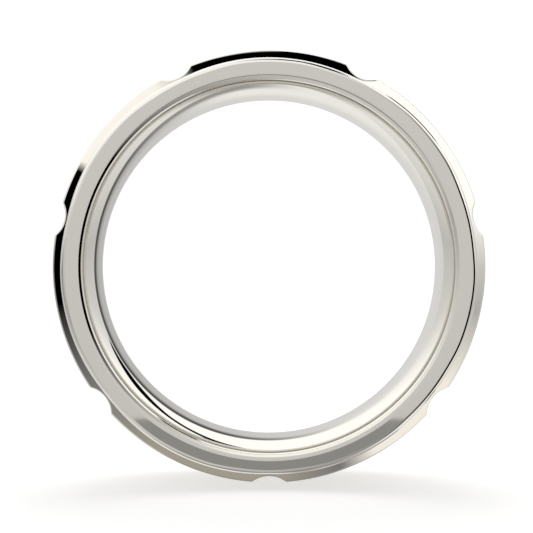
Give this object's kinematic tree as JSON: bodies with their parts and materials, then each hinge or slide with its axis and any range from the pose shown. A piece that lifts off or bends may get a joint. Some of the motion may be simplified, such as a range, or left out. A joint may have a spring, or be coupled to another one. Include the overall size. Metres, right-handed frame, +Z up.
{
  "type": "wedding band",
  "caption": "Stepped wedding band with a raised, notched centre band, a side rail on each edge and a rounded comfort-fit finger hole.",
  "frame": {"origin": "centre of the finger hole, halfway across the ring's width", "axes": "+Y along the ring's axis, +Z up with one notch pointing straight down, +X to the right"},
  "size_m": [0.0248, 0.0066, 0.0248],
  "materials": {
    "sleeve_metal": "mirror polish",
    "rail_metal": "mirror polish",
    "band_metal": "mirror polish"
  },
  "bodies": {
    "root": {"comfort_sleeve": "sleeve_metal", "front_rail": "rail_metal", "back_rail": "rail_metal", "centre_band": "band_metal"}
  },
  "joints": []
}
